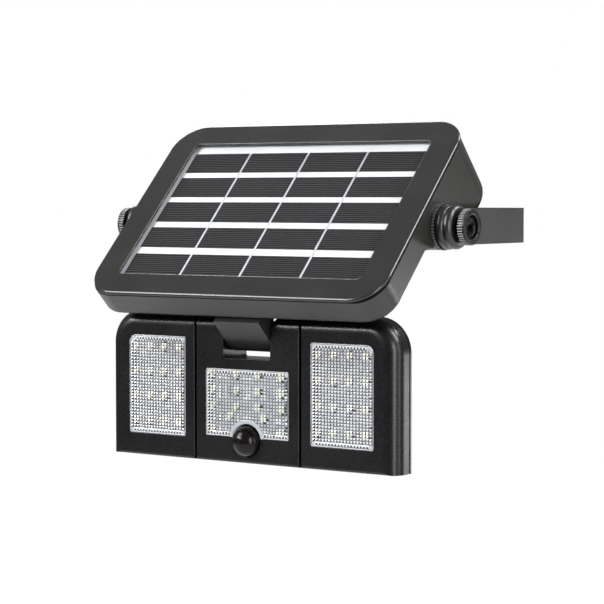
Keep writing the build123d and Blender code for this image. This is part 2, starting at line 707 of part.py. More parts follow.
def front_shell():
    shell = wing_prism(0, WING_SPLIT_Y)
    side_view = rect(FRONT_Y, WING_SPLIT_Y, LAMP_BOTTOM, LAMP_TOP + 5)
    side_view = round_corner(side_view, FRONT_Y, LAMP_BOTTOM, 1.5)
    shell &= extrude_x(side_view, WING_X0 - 5, WING_X1 + 5)
    shell &= plan_trim(WING_X0, WING_X1 + 5, WING_SPLIT_Y + 1, (WING_X0,))
    shell -= wing_prism(SHELL_T, WING_SPLIT_Y + 1)
    for x, z in WING_SCREWS:
        shell += rod_y(3.0, FRONT_Y + SHELL_T - 0.3, WING_SPLIT_Y - 0.2, x, z)
    for x, z in WING_SCREWS:
        shell -= rod_y(1.25, FRONT_Y + 4.0, WING_SPLIT_Y + 1, x, z)
    shell -= extrude_y(wing_window(), FRONT_Y - 1, FRONT_Y + 3)
    x0, x1, z0, z1 = WING_WINDOW
    window_edges = [
        e for e in shell.edges()
        if abs(e.center().Y - FRONT_Y) < 0.01
        and x0 - 0.5 < e.center().X < x1 + 0.5
        and z0 - 0.5 < e.center().Z < z1 + 0.5
    ]
    return soften(shell, window_edges, (0.3,))


def rear_cover():
    """Cover with a locating lip and the outer knuckles of the wing hinge."""
    cover = extrude_y(wing_outline(0), WING_SPLIT_Y + 0.8, WING_REAR_Y)
    rear_edges = cover.faces().sort_by(Axis.Y)[-1].outer_wire().edges()
    cover = soften(cover, rear_edges, (1.0, 0.6))
    cover += extrude_y(wing_outline(0.55), WING_SPLIT_Y, WING_SPLIT_Y + 1.0)
    lip = extrude_y(wing_outline(SHELL_T + 0.1), WING_SPLIT_Y - 1.9, WING_SPLIT_Y + 0.1)
    lip -= extrude_y(wing_outline(SHELL_T + 1.2), WING_SPLIT_Y - 3, WING_SPLIT_Y + 1)
    cover += lip
    for middle in KNUCKLE_ZS:
        for z0, z1 in ((middle + 3.1, middle + 6.1), (middle - 6.1, middle - 3.1)):
            cover += rod_z(KNUCKLE_R, z0, z1, SPLIT_X, KNUCKLE_Y)
            cover += box(WING_X0, SPLIT_X + 3.2, WING_REAR_Y - 0.5, KNUCKLE_Y, z0, z1)
    for z in KNUCKLE_ZS:
        cover -= rod_z(1.27, z - 8, z + 8, SPLIT_X, KNUCKLE_Y)
        cover -= box(
            WING_X0 - 6, WING_X0 + 3.0, WING_REAR_Y - 0.05, WING_REAR_Y + 8, z - 3.1, z + 3.1
        )
    for x, z in WING_SCREWS:
        cover -= rod_y(1.6, WING_SPLIT_Y - 1, WING_REAR_Y + 1, x, z)
        cover -= rod_y(2.8, WING_SEAT_Y, WING_REAR_Y + 1, x, z)
    return cut_grooves(cover, 52.0, 78.0, WING_REAR_Y, z=-74.0, count=5)


def cover_screws():
    return [lamp_screw(x, z, WING_SEAT_Y, head_h=1.4, length=7.5) for x, z in WING_SCREWS]


def diffuser():
    x0, x1, z0, z1 = WING_WINDOW
    flange = rect(x0 - 1.5, x1 + 1.5, z0 - 1.3, z1 + 1.5)
    flange = round_corner(flange, x1 + 1.5, z1 + 1.5, 6.0)
    return diffuser_body(wing_window(), flange)


def led_board():
    return extrude_y(rect(38.6, 82.4, -116.0, -57.8), LED_BOARD_Y0, LED_BOARD_Y1)


def leds():
    return [led(x, z) for x in WING_LED_XS for z in WING_LED_ZS]


# -------------------------------------------------------- lamp, centre head
HEAD_SPLIT_Y, HEAD_REAR_Y = -108.0, -98.96
HEAD_SCREWS = ((-28.4, -53.5), (28.4, -53.5), (-28.4, -120.4), (28.4, -120.4))
HEAD_SEAT_Y = HEAD_REAR_Y - 3.5
NOTCH_X, NOTCH_Z, NOTCH_MOUTH_R = 15.4, -70.9, 9.0
HEAD_WINDOW_X, HEAD_WINDOW_Z0, HEAD_WINDOW_Z1 = 27.3, -113.0, -76.5
DOME_Z, DOME_R = -114.9, 8.4


def notch(grow):
    """Cutter for the top opening, grown all round, with a flared mouth."""
    half, floor, radius = NOTCH_X + grow, NOTCH_Z - grow, NOTCH_MOUTH_R
    mouth_z, above = LAMP_TOP - grow, LAMP_TOP + 10
    sketch = rect(-half, half, floor, above)
    sketch = round_corner(sketch, -half, floor, 1.0 + grow)
    sketch = round_corner(sketch, half, floor, 1.0 + grow)
    for side in SIDES:
        x0, x1 = side * half, side * (half + radius)
        flare = rect(x0, x1, mouth_z - radius, above) - Pos(x1, mouth_z - radius) * Circle(radius)
        sketch += flare + rect(x0, x1, mouth_z, above)
    return extrude_y(sketch, FRONT_Y - 2, HEAD_REAR_Y + 2)


def head_window():
    x, z0, z1 = HEAD_WINDOW_X, HEAD_WINDOW_Z0, HEAD_WINDOW_Z1
    window = rect(-x, x, z0, z1)
    for corner in ((-x, z0), (x, z0), (-x, z1), (x, z1)):
        window = round_corner(window, *corner, 1.0)
    return window


def centre_front_shell():
    profile = rect(FRONT_Y, HEAD_SPLIT_Y, LAMP_BOTTOM, LAMP_TOP)
    profile = round_corner(profile, FRONT_Y, LAMP_TOP, LAMP_EDGE_R)
    profile = round_corner(profile, FRONT_Y, LAMP_BOTTOM, 1.5)
    shell = extrude_x(profile, -HEAD_X, HEAD_X)
    shell &= plan_trim(-HEAD_X, HEAD_X, HEAD_SPLIT_Y, (-HEAD_X, HEAD_X))
    shell -= notch(0)

    inner_y, inner_top = FRONT_Y + SHELL_T, LAMP_TOP - SHELL_T
    profile = rect(inner_y, HEAD_SPLIT_Y + 1, LAMP_BOTTOM + SHELL_T, inner_top)
    profile = round_corner(profile, inner_y, inner_top, LAMP_EDGE_R - SHELL_T)
    shell -= extrude_x(profile, -HEAD_X + SHELL_T, HEAD_X - SHELL_T) - notch(SHELL_T)

    for x, z in HEAD_SCREWS:
        shell += rod_y(3.0, inner_y - 0.3, HEAD_SPLIT_Y - 0.2, x, z)
    for side in SIDES:
        shell += rod_x(4.6, side * NOTCH_X, side * 24.5, HINGE_Y, HINGE_Z)
    for side in SIDES:
        shell -= rod_x(HINGE_PIN_R, side * (NOTCH_X - 1), side * 23.6, HINGE_Y, HINGE_Z)
    for x, z in HEAD_SCREWS:
        shell -= rod_y(1.25, FRONT_Y + 4.0, HEAD_SPLIT_Y + 1, x, z)
    opening = extrude_y(head_window(), FRONT_Y - 1, FRONT_Y + 3)
    opening += rod_y(8.75, FRONT_Y - 1, FRONT_Y + 3, 0, DOME_Z)
    return shell - opening


def centre_rear_shell():
    """Rear half of the head, with the middle knuckles of both wing hinges."""
    shell = extrude_x(rect(HEAD_SPLIT_Y + 0.8, HEAD_REAR_Y, LAMP_BOTTOM, LAMP_TOP), -HEAD_X, HEAD_X)
    rear_edges = shell.faces().sort_by(Axis.Y)[-1].outer_wire().edges()
    shell = soften(shell, rear_edges, (2.0, 1.0))
    shell += box(
        -HEAD_X + 0.55, HEAD_X - 0.55, HEAD_SPLIT_Y, HEAD_SPLIT_Y + 1.0,
        LAMP_BOTTOM + 0.55, LAMP_TOP - 0.55,
    )
    wall = SHELL_T + 0.6
    shell -= box(
        -HEAD_X + wall, HEAD_X - wall, HEAD_SPLIT_Y - 1, HEAD_REAR_Y - SHELL_T,
        LAMP_BOTTOM + wall, LAMP_TOP - wall,
    ) - notch(SHELL_T)
    shell -= notch(0)

    # solid blocks behind the knuckles, and screw posts kept inside the walls
    for side in SIDES:
        for z in KNUCKLE_ZS:
            shell += box(
                side * 28.4, side * (HEAD_X - 0.6),
                HEAD_SPLIT_Y + 0.1, HEAD_REAR_Y - 1, z - 8.5, z + 8.5,
            )
    for x, z in HEAD_SCREWS:
        shell += rod_y(4.2, HEAD_SPLIT_Y, HEAD_REAR_Y - 1.0, x, z) & box(
            -HEAD_X + 0.6, HEAD_X - 0.6, -130, -90, LAMP_BOTTOM + 0.6, LAMP_TOP - 0.6
        )

    # pocket, knuckle, its web and the pin bore
    for side in SIDES:
        for z in KNUCKLE_ZS:
            shell -= box(
                side * 30.4, side * (HEAD_X + 1), -105.6, HEAD_REAR_Y + 1, z - 6.5, z + 6.5
            )
            shell += rod_z(KNUCKLE_R, z - 3.0, z + 3.0, side * SPLIT_X, KNUCKLE_Y)
            shell += box(
                side * 30.0, side * SPLIT_X,
                KNUCKLE_Y - KNUCKLE_R + 0.3, HEAD_REAR_Y - 0.1, z - 3.0, z + 3.0,
            )
            shell -= rod_z(1.2, z - 6.4, z + 6.4, side * SPLIT_X, KNUCKLE_Y)
    for side in SIDES:
        shell -= rod_x(4.75, side * (NOTCH_X - 1), side * 26.0, HINGE_Y, HINGE_Z)
    for x, z in HEAD_SCREWS:
        shell -= rod_y(1.6, HEAD_SPLIT_Y - 1, HEAD_REAR_Y + 1, x, z)
        shell -= rod_y(2.8, HEAD_SEAT_Y, HEAD_REAR_Y + 1, x, z)
    return cut_grooves(shell, -18.0, 18.0, HEAD_REAR_Y, z=-84.0, count=4)


def centre_screws():
    return [lamp_screw(x, z, HEAD_SEAT_Y, head_h=1.5, length=11.5) for x, z in HEAD_SCREWS]


def tilt_pin():
    return rod_x(HINGE_PIN_R, -23.5, 23.5, HINGE_Y, HINGE_Z)


def wing_hinge_pins():
    return [
        rod_z(1.2, z - 6.2, z + 6.2, side * SPLIT_X, KNUCKLE_Y)
        for side in SIDES
        for z in KNUCKLE_ZS
    ]


def centre_diffuser():
    """Diffuser with an arch over the sensor dome and a raised rim round it."""
    x, z0, z1 = HEAD_WINDOW_X + 1.5, HEAD_WINDOW_Z0 - 1.3, HEAD_WINDOW_Z1 + 1.5
    body = diffuser_body(head_window(), rect(-x, x, z0, z1))
    body -= rod_y(9.25, -130, -100, 0, DOME_Z)
    body -= rod_y(10.3, DIFFUSER_Y1, FLANGE_Y1 + 1, 0, DOME_Z)
    rim = rod_y(11.6, DIFFUSER_Y0 - 0.35, DIFFUSER_Y0 + 0.1, 0, DOME_Z)
    rim -= rod_y(9.3, -130, -100, 0, DOME_Z)
    rim &= box(-20, 20, -130, -100, HEAD_WINDOW_Z0 + 0.1, -90)
    return body + rim


def centre_led_board():
    board = extrude_y(rect(-30.0, 30.0, -116.3, -74.6), LED_BOARD_Y0, LED_BOARD_Y1)
    return board - rod_y(10.6, -130, -100, 0, DOME_Z)


def centre_leds():
    """Three full rows, and two pairs beside the dome."""
    spots = [(x, z) for z in (-79.8, -88.4, -96.6) for x in (-23.0, -7.6, 7.6, 23.0)]
    spots += [(-11.4, -102.3), (11.4, -102.3), (-23.0, -108.8), (23.0, -108.8)]
    return [led(x, z) for x, z in spots]


# ------------------------------------------------------------------- sensor
def pir_dome():
    """Hollow dome on a flanged skirt, pointing to the front."""
    inner_r, flange_r, diagonal = DOME_R - 1.1, 9.05, math.sqrt(0.5)
    outer_mid, inner_mid = DOME_R * diagonal, inner_r * diagonal
    # (radius, height) profile
    profile = make_face([
        ThreePointArc((0, DOME_R), (outer_mid, outer_mid), (DOME_R, 0)),
        *lines(
            (DOME_R, 0), (DOME_R, -1.2), (flange_r, -1.2),
            (flange_r, -2.1), (inner_r, -2.1), (inner_r, 0),
        ),
        ThreePointArc((inner_r, 0), (inner_mid, inner_mid), (0, inner_r)),
        Line((0, inner_r), (0, DOME_R)),
    ])
    dome = revolve(profile, Axis.Y, 360)
    return Pos(0, FRONT_Y + 0.9, DOME_Z) * Rot(0, 0, 180) * dome


def pir_sensor():
    can = rod_y(4.5, FRONT_Y + 3.6, FRONT_Y + 7.6, 0, DOME_Z)
    can += rod_y(5.0, FRONT_Y + 7.0, FRONT_Y + 7.6, 0, DOME_Z)
    return can - box(-2.0, 2.0, FRONT_Y + 3, FRONT_Y + 3.9, DOME_Z - 1.5, DOME_Z + 1.5)


def pir_board():
    board = box(-12.0, 12.0, FRONT_Y + 7.6, FRONT_Y + 9.0, -123.2, -104.0)
    return board + box(6.0, 11.0, FRONT_Y + 9.0, FRONT_Y + 12.0, -110.0, -106.0)


# -------------------------------------------------------------------- write
PANEL_PARTS = (
    front_bezel, rear_housing, panel_gasket, bezel_screws,
    solar_cover, solar_backsheet, solar_cells, solar_busbars,
    battery_cell, battery_holder, battery_contacts, battery_cover, battery_cover_screws,
    charge_board, board_components, tact_switch, mode_button, battery_leads,
    hinge_arm, hinge_arm_screws,
)
SINGLE_PARTS = (
    wall_bracket, friction_washers, knob_inserts,
    centre_front_shell, centre_rear_shell, centre_screws, tilt_pin, wing_hinge_pins,
    centre_diffuser, centre_led_board, centre_leds, pir_dome, pir_sensor, pir_board,
)
PIVOT_PARTS = (pivot_collar, knob, knob_screw)
WING_PARTS = (front_shell, rear_cover, diffuser, led_board, leds, cover_screws)

for build in PANEL_PARTS:
    save(build.__name__, build(), on_panel=True)
for build in SINGLE_PARTS:
    save(build.__name__, build())
for build in PIVOT_PARTS:
    part = build()
    save(build.__name__ + "_right", part)
    save(build.__name__ + "_left", flip(part))
for build in WING_PARTS:
    part = build()
    save("right_" + build.__name__, part)
    save("left_" + build.__name__, flip(part))
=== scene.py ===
"""Solar wall light: a tilted solar panel above a centre lamp with a sensor dome and two wing lamps.

+X is right, -Y is the front, +Z is up. Sizes are in millimetres unless a comment says
otherwise; the scene is in metres. The CAD pieces get procedural materials, and the lamp
windows and LEDs are replaced by detailed meshes.
"""
import bpy, bmesh, math
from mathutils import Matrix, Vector
from mathutils.geometry import delaunay_2d_cdt

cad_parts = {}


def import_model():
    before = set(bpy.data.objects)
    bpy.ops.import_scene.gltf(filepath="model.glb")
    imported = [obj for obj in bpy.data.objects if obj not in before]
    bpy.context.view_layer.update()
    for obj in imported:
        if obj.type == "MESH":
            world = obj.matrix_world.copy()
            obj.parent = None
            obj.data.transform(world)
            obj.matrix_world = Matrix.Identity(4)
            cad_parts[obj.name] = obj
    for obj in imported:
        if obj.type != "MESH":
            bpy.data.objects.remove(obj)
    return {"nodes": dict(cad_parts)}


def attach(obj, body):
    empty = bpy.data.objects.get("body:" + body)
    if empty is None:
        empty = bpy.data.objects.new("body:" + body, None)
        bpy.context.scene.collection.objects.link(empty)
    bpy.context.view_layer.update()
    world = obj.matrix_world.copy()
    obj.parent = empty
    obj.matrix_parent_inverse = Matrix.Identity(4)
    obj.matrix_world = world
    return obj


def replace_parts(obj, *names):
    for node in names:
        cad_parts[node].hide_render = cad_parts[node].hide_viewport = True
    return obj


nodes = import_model()["nodes"]
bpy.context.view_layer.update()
MM = 0.001

# ------------------------------------------------------------------ sizes
# Solar panel and tilt axis, in metres
PANEL_CENTRE = Vector((0, -0.09885, 0.01009))
PANEL_UP = Vector((0, math.sqrt(0.5), math.sqrt(0.5)))  # up the slope of the panel
TILT_AXIS_Y = -0.082

FINGER_PITCH = 1.42  # silver lines on the cells
COLLAR_RADIUS = 12.3

# Depths of the lamps, front to back
LAMP_FRONT_Y = -123.56
LENS_FRONT_Y = LAMP_FRONT_Y + 0.45
LENS_BACK_Y = LAMP_FRONT_Y + 2.06
BOARD_FRONT_Y = LAMP_FRONT_Y + 3.66

# Lens border and prisms
RIM_INNER, RIM_OUTER = 0.44, 0.74  # insets of the two border lines from the outline
RIM_LIFT = 0.22  # height of the first border line
PRISM_HEIGHT = 0.42
PRISM_STEP = 0.62  # height of the middle step, as a share of the prism
FIELD_MARGIN = 0.77  # least distance from a prism to the outline

DOME_Z = -114.9  # centre of the arch over the dome
ARCH_INNER, ARCH_OUTER, ARCH_FOOT_Z = 9.35, 11.6, -112.9
ARCH_ROUNDING = 0.35
ARCH_STEPS = 48

# LED package
LED_HALF, LED_HEIGHT = 1.4, 0.75
PHOSPHOR_SIDES = 16


# ------------------------------------------------------------------ node help
class Tree:
    """Small helper round the node tree of a material or a world."""

    def __init__(self, owner, output_kind, coordinates):
        owner.use_nodes = True
        self.nt = owner.node_tree
        self.nt.nodes.clear()
        self.out = self.nt.nodes.new(output_kind)
        self.coord = self.nt.nodes.new("ShaderNodeTexCoord").outputs[coordinates]

    def put(self, kind, inputs=None, **props):
        node = self.nt.nodes.new(kind)
        for key, value in props.items():
            setattr(node, key, value)
        for key, value in (inputs or {}).items():
            self.wire(node.inputs[key], value)
        return node

    def wire(self, socket, value):
        if isinstance(value, bpy.types.NodeSocket):
            self.nt.links.new(value, socket)
        elif isinstance(value, (tuple, list)) and len(value) == 3 and socket.type == "RGBA":
            socket.default_value = (*value, 1.0)
        else:
            socket.default_value = value

    def math(self, op, a, b=0.0, c=0.0, clamp=False):
        return self.put("ShaderNodeMath", {0: a, 1: b, 2: c}, operation=op, use_clamp=clamp).outputs[0]

    def times(self, a, b):
        return self.math("MULTIPLY", a, b)

    def dot(self, a, b):
        node = self.put("ShaderNodeVectorMath", {0: a, 1: b}, operation="DOT_PRODUCT")
        return node.outputs["Value"]

    def xyz(self):
        return self.put("ShaderNodeSeparateXYZ", {0: self.coord}).outputs

    def noise(self, scale, detail=2.0, rough=0.5, vector=None):
        return self.put("ShaderNodeTexNoise", {
            "Scale": scale, "Detail": detail, "Roughness": rough,
            "Vector": self.coord if vector is None else vector,
        }).outputs["Fac"]

    def ramp(self, value, start, end, low=0.0, high=1.0):
        return self.put("ShaderNodeMapRange", {
            "Value": value, "From Min": start, "From Max": end, "To Min": low, "To Max": high,
        }).outputs["Result"]

    def band(self, noise, low=0.0, high=1.0):
        """Stretch the middle of a noise, where most of its values lie."""
        return self.ramp(noise, 0.3, 0.7, low, high)

    def mix_colour(self, share, a, b):
        return self.put("ShaderNodeMix", {0: share, 6: a, 7: b}, data_type="RGBA").outputs[2]

    def bump(self, height, strength, depth, normal=None):
        inputs = {"Height": height, "Strength": strength, "Distance": depth * MM}
        if normal is not None:
            inputs["Normal"] = normal
        return self.put("ShaderNodeBump", inputs).outputs["Normal"]

    def bevel(self, radius):
        return self.put("ShaderNodeBevel", {"Radius": radius * MM}, samples=4).outputs["Normal"]

    def shader(self, kind, **inputs):
        inputs = {key.replace("_", " "): value for key, value in inputs.items()}
        return self.put("ShaderNode" + kind, inputs).outputs[0]

    def mix_shader(self, share, a, b):
        return self.put("ShaderNodeMixShader", {0: share, 1: a, 2: b}).outputs[0]

    def backfacing(self):
        return self.put("ShaderNodeNewGeometry").outputs["Backfacing"]

    def camera_ray(self):
        return self.put("ShaderNodeLightPath").outputs["Is Camera Ray"]

    def done(self, shader):
        self.wire(self.out.inputs["Surface"], shader)

    def principled(self, **inputs):
        """Finish the material with one principled shader."""
        self.done(self.shader("BsdfPrincipled", **inputs))


MATERIALS = {}


def new_material(name):
    MATERIALS[name] = bpy.data.materials.new(name)
    return Tree(MATERIALS[name], "ShaderNodeOutputMaterial", "Object")


def tint(colour, factor):
    return tuple(max(0.0, min(1.0, part * factor)) for part in colour)


# ------------------------------------------------------------------ opaque materials
def plastic(name, colour, rough, grain=1800.0, bump=0.18, bevel=0.35, spec=0.5):
    """Moulded plastic: spark-eroded grain, slow tone drift, softened arrises."""
    drift = 0.14  # lighter and darker than the base colour
    t = new_material(name)
    fine = t.noise(grain, detail=3.0, rough=0.6)
    slow = t.noise(scale=38.0, detail=3.0, rough=0.55)
    c = t.mix_colour(t.band(slow), tint(colour, 1 - drift), tint(colour, 1 + drift))
    speckle = t.times(t.ramp(fine, start=0.35, end=0.65), 0.35)
    c = t.mix_colour(speckle, c, tint(colour, 1.35))
    r = t.band(fine, low=rough - 0.05, high=rough + 0.06)
    r = t.math("ADD", r, t.band(slow, low=-0.025, high=0.025))
    normal = t.bump(fine, bump, depth=0.04, normal=t.bevel(bevel))
    t.principled(Base_Color=c, Roughness=r, Normal=normal, Specular_IOR_Level=spec,
                 Coat_Roughness=0.12)


def metal(name, colour, rough, streak=(1, 1, 12), bump=0.05):
    """Plated or turned metal with fine streaks; streak scales the noise along x, y and z."""
    t = new_material(name)
    stretched = t.put("ShaderNodeMapping", {"Vector": t.coord, "Scale": streak}).outputs[0]
    f = t.noise(scale=900.0, detail=3.0, rough=0.6, vector=stretched)
    t.principled(
        Base_Color=t.mix_colour(t.band(f), tint(colour, 0.86), tint(colour, 1.08)),
        Metallic=1.0,
        Roughness=t.band(f, low=rough - 0.06, high=rough + 0.08),
        Normal=t.bump(f, bump, depth=0.03, normal=t.bevel(0.15)))


def turned_plastic(name, colour, crest, rough, radii, span, spec):
    """Turned plastic round the tilt axis.

    The crests get a painted highlight, pale between two radii, over a span of distances from the
    middle.
    """
    t = new_material(name)
    place = t.xyz()
    y, z = t.math("ADD", place["Y"], -TILT_AXIS_Y), place["Z"]
    radius = t.math("SQRT", t.math("ADD", t.times(y, y), t.times(z, z)))
    across = t.math("ABSOLUTE", place["X"])
    fine = t.noise(scale=2200.0, detail=3.0, rough=0.6)
    slow = t.noise(scale=60.0)
    in_span = t.times(t.math("GREATER_THAN", across, span[0] * MM),
                      t.math("LESS_THAN", across, span[1] * MM))
    # Painted highlight on the crests, between the two radii and within the span
    painted_crest_highlight = t.times(t.ramp(radius, radii[0] * MM, radii[1] * MM), in_span)
    c = t.mix_colour(t.band(slow), tint(colour, 0.85), tint(colour, 1.15))
    t.principled(
        Base_Color=t.mix_colour(painted_crest_highlight, c, crest),
        Roughness=t.band(fine, low=rough - 0.04, high=rough + 0.05),
        Normal=t.bump(fine, strength=0.08, depth=0.04, normal=t.bevel(0.15)),
        Specular_IOR_Level=spec)


def circuit_board(name, colour, trace):
    """Board with a fine brick pattern of traces."""
    t = new_material(name)
    brick = t.put("ShaderNodeTexBrick", {
        "Vector": t.coord, "Scale": 160.0, "Mortar Size": 0.02,
        "Color1": colour, "Color2": tint(colour, 0.94), "Mortar": trace,
    })
    f = t.noise(scale=900.0)
    t.principled(
        Base_Color=t.mix_colour(t.times(f, 0.12), brick.outputs["Color"], tint(colour, 0.8)),
        Roughness=t.band(f, low=0.35, high=0.5),
        Normal=t.bump(f, strength=0.1, depth=0.03))


def silicon_cells():
    """Dark silicon crossed by silver fingers that run along x."""
    finger_half = 0.115  # half the width of a finger, as a share of the pitch
    t = new_material("silicon_cells")
    up_slope = t.math("SUBTRACT", t.dot(t.coord, tuple(PANEL_UP)), PANEL_CENTRE.dot(PANEL_UP))
    # Half a metre is added to keep the distance positive for FRACT.
    phase = t.math("FRACT", t.times(t.math("ADD", up_slope, 0.5), 1 / (FINGER_PITCH * MM)))
    off_centre = t.math("ABSOLUTE", t.math("SUBTRACT", phase, 0.5))
    finger = t.math("LESS_THAN", off_centre, finger_half)
    blotch = t.noise(scale=60.0, detail=3.0, rough=0.6)
    fine = t.noise(scale=3500.0)
    c = t.mix_colour(t.band(blotch), (0.0008, 0.0008, 0.0010), (0.0026, 0.0025, 0.0030))
    glint = t.times(t.ramp(fine, start=0.4, end=0.6), 0.3)
    c = t.mix_colour(glint, c, (0.008, 0.008, 0.010))
    c = t.mix_colour(finger, c, (0.090, 0.087, 0.087))
    height = t.math("MAXIMUM", finger, t.times(fine, 0.3))
    t.principled(
        Base_Color=c,
        Roughness=t.math("ADD", t.band(fine, low=0.28, high=0.42), t.times(finger, 0.1)),
        Specular_IOR_Level=0.06,
        Metallic=t.times(finger, 0.5),
        Normal=t.bump(height, strength=0.2, depth=0.03))


def backsheet():
    t = new_material("backsheet_white")
    weave = t.noise(scale=2400.0)
    slow = t.noise(scale=45.0)
    c = t.mix_colour(t.band(slow), (0.64, 0.642, 0.65), (0.74, 0.742, 0.75))
    c = t.mix_colour(t.times(weave, 0.25), c, (0.60, 0.60, 0.62))
    t.principled(Base_Color=c, Roughness=0.55, Normal=t.bump(weave, strength=0.15, depth=0.04))


def smoked_dome():
    t = new_material("dome_smoke")
    slow = t.noise(scale=220.0)
    fine = t.noise(scale=1500.0)
    t.principled(
        Base_Color=t.mix_colour(t.band(slow), (0.0022, 0.0018, 0.0016), (0.0060, 0.0044, 0.0036)),
        Roughness=t.band(fine, low=0.17, high=0.23),
        Normal=t.bump(fine, strength=0.03, depth=0.03),
        Specular_IOR_Level=0.20)


def led_package():
    t = new_material("led_package")
    f = t.noise(scale=2600.0)
    t.principled(
        Base_Color=t.mix_colour(f, (0.86, 0.85, 0.80), (0.93, 0.92, 0.88)),
        Roughness=t.band(f, low=0.3, high=0.45),
        Normal=t.bump(f, strength=0.1, depth=0.03))


def led_phosphor():
    t = new_material("led_phosphor")
    f = t.noise(scale=4200.0)
    t.principled(
        Base_Color=t.mix_colour(f, (0.86, 0.72, 0.20), (0.95, 0.86, 0.42)),
        Roughness=0.35,
        Normal=t.bump(f, strength=0.2, depth=0.04),
        Coat_Weight=0.6)


# ------------------------------------------------------------------ clear materials
def clear_plastic(name, colour, keep, rough, bump=0.05, ior=1.49):
    """Plastic seen through: keep is the share let straight through, under a Fresnel gloss."""
    t = new_material(name)
    f = t.noise(scale=1500.0)
    normal = t.bump(f, bump, depth=0.03)
    geometry = t.put("ShaderNodeNewGeometry").outputs
    facing = t.math("ABSOLUTE", t.dot(geometry["Incoming"], normal))
    away = t.math("SUBTRACT", 1.0, facing, clamp=True)
    # Schlick's formula, on front faces only
    head_on = ((ior - 1) / (ior + 1)) ** 2
    fresnel = t.math("MULTIPLY_ADD", t.math("POWER", away, 5.0), 1 - head_on, head_on)
    fresnel = t.times(fresnel, t.math("SUBTRACT", 1.0, geometry["Backfacing"]))
    gloss = t.shader("BsdfGlossy", Color=(1, 1, 1), Normal=normal,
                     Roughness=t.band(f, low=rough, high=rough + 0.04))
    clear = t.shader("BsdfTransparent", Color=colour)
    body = t.shader("BsdfDiffuse", Color=(0.8, 0.82, 0.86))
    t.done(t.mix_shader(fresnel, t.mix_shader(1 - keep, clear, body), gloss))


def prisms():
    """Moulded prisms: the facet attribute holds a tone of painted light and shade, and the share
    scattered in its alpha.
    """
    t = new_material("diffuser_prisms")
    facet = t.put("ShaderNodeAttribute", attribute_name="facet").outputs
    f = t.noise(scale=1800.0)
    c = t.mix_colour(t.times(f, 0.12), facet["Color"], (0.55, 0.57, 0.62))
    body = t.shader("BsdfDiffuse", Color=c)
    clear = t.shader("BsdfTransparent", Color=c)
    gloss = t.shader("BsdfGlossy", Color=(1, 1, 1), Roughness=t.band(f, low=0.10, high=0.16))
    gloss_share = t.times(t.math("SUBTRACT", 1.0, t.backfacing()), 0.05)
    t.done(t.mix_shader(gloss_share, t.mix_shader(facet["Alpha"], clear, body), gloss))


# ------------------------------------------------------------------ material settings
# name, colour, roughness, other arguments
PLASTICS = [
    ("housing_black", (0.0128, 0.0122, 0.0112), 0.33, dict(bump=0.20)),
    ("bezel_black", (0.0132, 0.0127, 0.0122), 0.19, dict(bump=0.04, bevel=0.2)),
    ("lamp_black", (0.0026, 0.0025, 0.0033), 0.29, dict(bump=0.12, spec=0.35)),
    ("bracket_steel", (0.0220, 0.0212, 0.0206), 0.42,
     dict(grain=2600.0, bump=0.25, bevel=0.4, spec=0.28)),
    ("nylon_washer", (0.020, 0.020, 0.020), 0.5, {}),
    ("seal_rubber", (0.012, 0.012, 0.012), 0.65, dict(bump=0.3)),
    ("button_rubber", (0.018, 0.018, 0.018), 0.6, dict(bump=0.3)),
    ("inner_plastic", (0.04, 0.04, 0.04), 0.5, {}),
    ("battery_sleeve", (0.05, 0.16, 0.42), 0.25, dict(bump=0.03)),
    ("wire_sleeve", (0.28, 0.02, 0.02), 0.4, {}),
    ("component_black", (0.02, 0.02, 0.021), 0.3, {}),
]
METALS = [
    ("screw_steel", (0.52, 0.52, 0.54), 0.34, {}),
    ("pin_steel", (0.46, 0.46, 0.48), 0.30, dict(streak=(12, 1, 1))),
    ("spring_plate", (0.6, 0.6, 0.57), 0.3, {}),
    ("sensor_can", (0.55, 0.55, 0.56), 0.3, {}),
    ("insert_brass", (0.72, 0.50, 0.20), 0.32, {}),
    ("busbar_silver", (0.80, 0.80, 0.82), 0.42, dict(streak=(1, 8, 8))),
    ("cap_black_oxide", (0.014, 0.014, 0.014), 0.20, dict(bump=0.03)),
]
for make, table in ((plastic, PLASTICS), (metal, METALS)):
    for name, colour, rough, others in table:
        make(name, colour, rough, **others)

# Crest colours are painted highlights on the flange teeth of the collars and on the ridges of the
# knobs
turned_plastic("collar_black", (0.0044, 0.0041, 0.0038), crest=(0.11, 0.11, 0.11), rough=0.33,
               radii=(COLLAR_RADIUS - 0.30, COLLAR_RADIUS - 0.05), span=(96.0, 98.2), spec=0.6)
turned_plastic("knob_black", (0.0030, 0.0028, 0.0026), crest=(0.30, 0.30, 0.30), rough=0.28,
               radii=(9.30, 9.55), span=(110.2, 113.4), spec=0.4)
circuit_board("led_board_white", (0.80, 0.81, 0.84), trace=(0.70, 0.71, 0.74))
circuit_board("circuit_board", (0.02, 0.15, 0.06), trace=(0.05, 0.24, 0.10))
silicon_cells()
backsheet()
clear_plastic("panel_cover", (0.97, 0.975, 0.98), keep=0.996, rough=0.10, ior=1.18)
clear_plastic("diffuser_clear", (0.93, 0.95, 0.97), keep=0.72, rough=0.05, bump=0.03)
clear_plastic("diffuser_rim", (0.70, 0.72, 0.75), keep=0.62, rough=0.06, bump=0.03)
prisms()
smoked_dome()
led_package()
led_phosphor()

